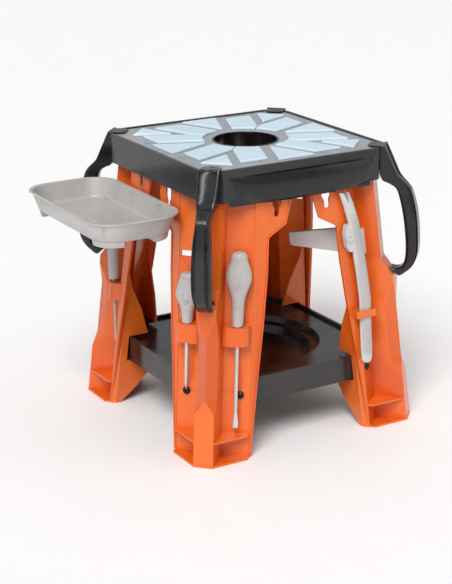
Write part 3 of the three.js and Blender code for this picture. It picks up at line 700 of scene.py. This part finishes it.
@dataclass
class SideTray(Assembly):
    """The grey tray on its post."""

    x0: float = -321.0
    x1: float = -170.0
    y0: float = -120.0
    y1: float = 160.0
    rim: float = 379.0
    floor: float = 348.5
    post_x: float = -179.2
    post_y: float = 120.2
    foot_z: float = 338.2
    foot_reach: float = 49.0
    rib_half: float = 4.0
    steps: int = 14
    edge_angle: float = 40.0

    def outline(self, inset: float, radius: float, z: float) -> Ring:
        """Make a rounded rectangle at a height.

        Args:
            inset: How far in from the tray's rim, in mm.
            radius: Corner radius in mm.
            z: Height in mm.

        Returns:
            The outline in metres.
        """
        ring = []
        corners = [(self.x1 - inset - radius, self.y0 + inset + radius, -90.0),
                   (self.x1 - inset - radius, self.y1 - inset - radius, 0.0),
                   (self.x0 + inset + radius, self.y1 - inset - radius, 90.0),
                   (self.x0 + inset + radius, self.y0 + inset + radius, 180.0)]
        for cx, cy, start in corners:
            for k in range(self.steps + 1):
                turn = math.radians(start + 90.0 * k / self.steps)
                x, y = cx + radius * math.cos(turn), cy + radius * math.sin(turn)
                ring.append((x * MM, y * MM, z * MM))
        return ring

    def shell(self) -> tuple[list[Point], list[list[int]]]:
        """Make the tray's wall, lip and floor as one skin.

        Returns:
            Vertices and faces, in metres.
        """
        f, r = self.floor, self.rim
        levels = [(24.0, 27.0, f - 2.4), (17.0, 33.0, f - 2.2), (14.2, 36.0, f - 1.4), (12.4, 38.0, f + 0.5),
                  (4.6, 42.0, r - 5.5), (4.0, 42.5, r - 3.2), (1.2, 43.4, r - 2.6), (0.1, 44.0, r - 1.8),
                  (0.0, 44.0, r - 1.0), (0.5, 43.8, r - 0.2), (2.0, 43.2, r), (4.6, 42.0, r - 0.2),
                  (6.0, 41.2, r - 1.6), (14.0, 36.0, f + 4.5), (16.0, 34.0, f + 1.2), (19.0, 32.0, f + 0.1),
                  (30.0, 24.0, f)]
        return skin([self.outline(*level) for level in levels])

    def turned(self, profile: Sequence[tuple[float, float]], x: float, y: float,
               count: int = 28) -> tuple[list[Point], list[list[int]]]:
        """Turn a profile about an upright axis.

        Args:
            profile: Pairs of radius and height, in mm.
            x: The axis's place in mm.
            y: The axis's place in mm.
            count: Points round the axis.

        Returns:
            Vertices and faces, in metres.
        """
        turns = [2 * math.pi * k / count for k in range(count)]
        return skin([[((x + radius * math.cos(turn)) * MM, (y + radius * math.sin(turn)) * MM, height * MM)
                      for turn in turns] for radius, height in profile])

    def rib(self, y: float) -> tuple[list[Point], list[list[int]]]:
        """Make an upright rib on the wall beside the table, centred at y in mm."""
        x0, x1 = self.x1 - 13.0, self.x1 - 6.0
        y0, y1 = y - self.rib_half, y + self.rib_half
        low = [(x0, y0), (x1, y0), (x1, y1), (x0, y1)]
        heights = (self.floor + 1.0, self.rim - 1.4)
        return skin([[(x * MM, side * MM, z * MM) for x, side in low] for z in heights])

    def foot(self, right: bool, back: bool) -> tuple[list[Point], list[list[int]]]:
        """Make the foot under one corner, flush with the wall.

        Args:
            right: Whether the corner is on the table's side.
            back: Whether the corner is at the back.

        Returns:
            Vertices and faces, in metres.
        """
        corner = {(True, False): 0, (False, True): 2, (False, False): 3}[(right, back)]
        levels = ((16.4, 34.0, self.foot_z), (15.2, 34.6, self.foot_z + 0.6), (13.4, 36.0, self.floor - 1.0))
        inner_x = (self.x1 - self.foot_reach if right else self.x0 + self.foot_reach) * MM
        inner_y = (self.y1 - self.foot_reach if back else self.y0 + self.foot_reach) * MM
        rings = []
        for inset, radius, z in levels:
            arc = self.outline(inset, radius, z)[corner * (self.steps + 1):(corner + 1) * (self.steps + 1)]
            first, last = arc[0], arc[-1]
            if right == back:
                ends = [(inner_x, last[1]), (inner_x, inner_y), (first[0], inner_y)]
            else:
                ends = [(last[0], inner_y), (inner_x, inner_y), (inner_x, first[1])]
            rings.append(arc + [(x, y, z * MM) for x, y in ends])
        return skin(rings)

    def build(self) -> None:
        """Build the tray and its floor studs, and dress its post."""
        parts = [self.shell()]
        for right, back in ((False, False), (True, False), (False, True)):
            parts.append(self.foot(right, back))
        socket = [(9.6, 315.2), (10.7, 316.0), (10.8, 336.0), (10.6, 347.0), (10.2, 353.0), (8.0, 354.6)]
        parts.append(self.turned(socket, self.post_x - 1.0, self.post_y))
        for y in (-40.0, 46.0):
            parts.append(self.rib(y))
        tray = merge("tool_tray", parts)
        soften(tray, 0.4 * MM, angle=self.edge_angle)
        self.add_piece(tray, Slot.TOOL, Body.TRAY, ["tray"])
        stud = [(2.6, self.floor - 0.2), (2.4, self.floor + 0.6), (1.2, self.floor + 1.0)]
        studs = [self.turned(stud, x, y, 16) for y in (-20.0, 14.0, 48.0) for x in (-262.0, -236.0)]
        self.add_piece(merge("tray_floor_studs", studs), Slot.TOOL, Body.TRAY)
        self.dress_node("tray_post", Slot.TOOL, 0.6)


@dataclass
class Screwdriver(Assembly):
    """A toy screwdriver: shaped handle with a ring, an oval grip mark and a small button, and its shaft."""

    name: str = "flat"
    body: Body = Body.FLAT_DRIVER
    length: float = 113.0
    full_at: float = 0.66
    swap: bool = False
    base: float = 209.5
    side: str = "front"
    sides: int = 36
    mark_length: float = 109.0     # length of the handle that the grip marks were drawn for

    def over_bore(self, z: float, along: float, out: float) -> Vector:
        """Place a point over the ring's bore, in mm at foot level."""
        return Vector((*BORE, z)) + ALONG * along + OUT * out

    def oval(self, z: float, wide: float, thick: float) -> Ring:
        """Make an oval section over the ring's bore.

        Args:
            z: Height in mm.
            wide: Half its width along the wing's panel.
            thick: Half its thickness.

        Returns:
            The section in metres.
        """
        turns = [FULL_TURN * i / self.sides for i in range(self.sides)]
        ring = [tuple(self.over_bore(z, wide * math.cos(turn), thick * math.sin(turn))) for turn in turns]
        return to_quarter(ring, self.side, self.swap)

    def handle_rings(self) -> list[Ring]:
        """Make the handle's sections.

        Returns:
            The sections in metres, from the handle's foot to its crown.
        """
        neck = self.full_at - 0.34
        stations = [(0.0, 6.8, 6.8), (0.012, 8.0, 8.0), (0.05, 8.5, 8.3), (neck, 9.8, 9.2),
                    (neck + 0.12, 12.4, 9.9), (self.full_at - 0.08, 18.2, 11.0), (self.full_at, 19.7, 11.4),
                    (self.full_at + 0.1, 18.2, 11.0), (0.88, 13.2, 10.0), (0.94, 12.2, 9.5),
                    (0.975, 10.6, 8.3), (0.993, 7.6, 6.0), (1.0, 3.0, 2.4)]
        smooth = smooth_path(stations, 3)
        return [self.oval(self.base + share * self.length, wide, thick) for share, wide, thick in smooth]

    def face_loop(self, height: float, wide: float, tall: float, out: float,
                  radius: float) -> tuple[list[Point], list[list[int]]]:
        """Make an oval bead on the handle's outer face.

        Args:
            height: Height of its middle, as a share of the handle's length.
            wide: Half its width in mm.
            tall: Half its height in mm.
            out: How far it stands from the handle's axis, in mm.
            radius: Radius of the bead in mm.

        Returns:
            Vertices and faces, in metres.
        """
        count = 28
        path = []
        for i in range(count):
            turn = FULL_TURN * i / count
            z = self.base + height * self.length + tall * math.sin(turn)
            path.append(self.over_bore(z, wide * math.cos(turn), out))
        points, faces = closed_tube(path, radius, 8)
        return to_quarter(points, self.side, self.swap), faces

    def build(self) -> None:
        """Build the handle, its marks and the shaft."""
        points, faces = skin(self.handle_rings())
        handle = make_object(f"driver_grip_{self.name}", points, faces)
        self.add_piece(handle, Slot.TOOL, self.body, [f"driver_handle_{self.name}"])
        stretch = self.length / self.mark_length
        grip = self.full_at - 0.04
        marks = [self.face_loop(0.87, 3.6, 3.8, 9.9, 0.9),
                 self.face_loop(grip, 5.4, 11.0 * stretch, 11.1, 1.0),
                 self.face_loop(grip, 2.4, 7.0 * stretch, 11.2, 0.8),
                 self.face_loop(0.3, 2.4, 3.2, 9.3, 0.9)]
        self.add_piece(merge(f"driver_marks_{self.name}", marks), Slot.TOOL, self.body)
        self.dress_node(f"driver_shaft_{self.name}", Slot.SHAFT, 0.3)


@dataclass
class ClawHammer(Assembly):
    """The grey hammer that hangs on the right leg, with a long tapered claw."""

    def build(self) -> None:
        """Dress the hammer."""
        self.dress_node("hammer", Slot.TOOL, 1.2, 3)


# ---------------------------------------------------------------- studio
@dataclass
class Studio:
    """Pale floor, soft lights and the camera."""

    azimuth: float = 0.5307
    elevation: float = 0.3234
    roll: float = -0.0058
    distance: float = 2.5677
    aim: Point = (-0.02779, 0.01631, 0.19247)
    focal: float = 64.48
    sensor: float = 24.0
    surround: float = 0.5
    floor_half: float = 12.0
    floor_z: float = -0.0002

    def camera(self) -> None:
        """Set the camera."""
        lens = bpy.data.cameras.new("camera")
        lens.sensor_fit = "VERTICAL"
        lens.sensor_height = self.sensor
        lens.lens = self.focal
        lens.clip_end = 50.0
        ahead = Vector((math.sin(self.azimuth) * math.cos(self.elevation),
                        math.cos(self.azimuth) * math.cos(self.elevation), -math.sin(self.elevation)))
        right = Vector((math.cos(self.azimuth), -math.sin(self.azimuth), 0.0))
        up = right.cross(ahead)
        c, s = math.cos(self.roll), math.sin(self.roll)
        right, up = right * c + up * s, up * c - right * s
        eye = Vector(self.aim) - ahead * self.distance
        rig = bpy.data.objects.new("camera", lens)
        bpy.context.scene.collection.objects.link(rig)
        rig.matrix_world = Matrix(((right.x, up.x, -ahead.x, eye.x), (right.y, up.y, -ahead.y, eye.y),
                                   (right.z, up.z, -ahead.z, eye.z), (0.0, 0.0, 0.0, 1.0)))
        bpy.context.scene.camera = rig

    def aimed(self, name: str, light: bpy.types.Light, place: Point) -> None:
        """Stand a light somewhere and turn it to the table.

        Args:
            name: Name of the light.
            light: The light's data.
            place: Where it stands, in metres.
        """
        lamp = bpy.data.objects.new(name, light)
        bpy.context.scene.collection.objects.link(lamp)
        lamp.location = place
        towards = Vector((0.0, 0.0, 0.25)) - Vector(place)
        lamp.rotation_euler = towards.to_track_quat("-Z", "Y").to_euler()

    def lamp(self, name: str, place: Point, size: float, power: float) -> None:
        """Add a soft square lamp that faces the table.

        Args:
            name: Name of the lamp.
            place: Where it stands, in metres.
            size: Edge length in metres.
            power: Watts.
        """
        light = bpy.data.lights.new(name, "AREA")
        light.size = size
        light.energy = power
        self.aimed(name, light, place)

    def sun(self, name: str, place: Point, power: float, spread: float) -> None:
        """Add a soft even light that shines from a direction.

        Args:
            name: Name of the light.
            place: A point it shines from, towards the table.
            power: Strength.
            spread: Angle it fills, in degrees.
        """
        light = bpy.data.lights.new(name, "SUN")
        light.energy = power
        light.angle = math.radians(spread)
        self.aimed(name, light, place)

    def floor(self) -> None:
        """Lay the pale floor and the bright surround."""
        half, z = self.floor_half, self.floor_z
        corners = [(-half, -half, z), (half, -half, z), (half, half, z), (-half, half, z)]
        plane = make_object("floor", corners, [[0, 1, 2, 3]])
        paper = MouldedFinish("studio_paper", (0.93, 0.925, 0.92), (1.0, 1.0, 1.0), 0.6, 0.1, mottle=0.012,
                              grain_per_m=300.0, grain_depth=0.02, waves=0.0, edge_wear_and_highlight=0.0)
        plane.data.materials.append(paper.build())
        world = bpy.data.worlds.new("surround")
        bpy.context.scene.world = world
        world.use_nodes = True
        background = world.node_tree.nodes["Background"]
        background.inputs["Color"].default_value = (1.0, 1.0, 1.0, 1.0)
        background.inputs["Strength"].default_value = self.surround

    def build(self) -> None:
        """Set up the studio."""
        self.camera()
        self.floor()
        self.sun("key", (-1.9, -1.9, 3.2), 2.5, 30.0)
        self.lamp("right_fill", (2.2, -1.6, 1.2), 1.6, 5.0)
        bpy.context.scene.view_settings.view_transform = "Standard"
        LOG.info("studio ready")


def main() -> None:
    """Build the sub-assemblies in order."""
    logging.basicConfig(level=logging.INFO, format="%(name)s %(message)s")
    finishes = FinishShelf()
    Studio().build()
    builders: list[Callable[[], None]] = [TableTop(finishes).build, Legs(finishes).build,
                                          LowerShelf(finishes).build]
    builders += [CornerHandle(finishes, side=side).build for side in SIDES]
    builders.append(SideTray(finishes).build)
    builders.append(Screwdriver(finishes).build)
    builders.append(Screwdriver(finishes, name="cross", body=Body.CROSS_DRIVER, length=77.0, full_at=0.56,
                                swap=True).build)
    builders.append(ClawHammer(finishes).build)
    for build in builders:
        build()


if __name__ == "__main__":
    main()
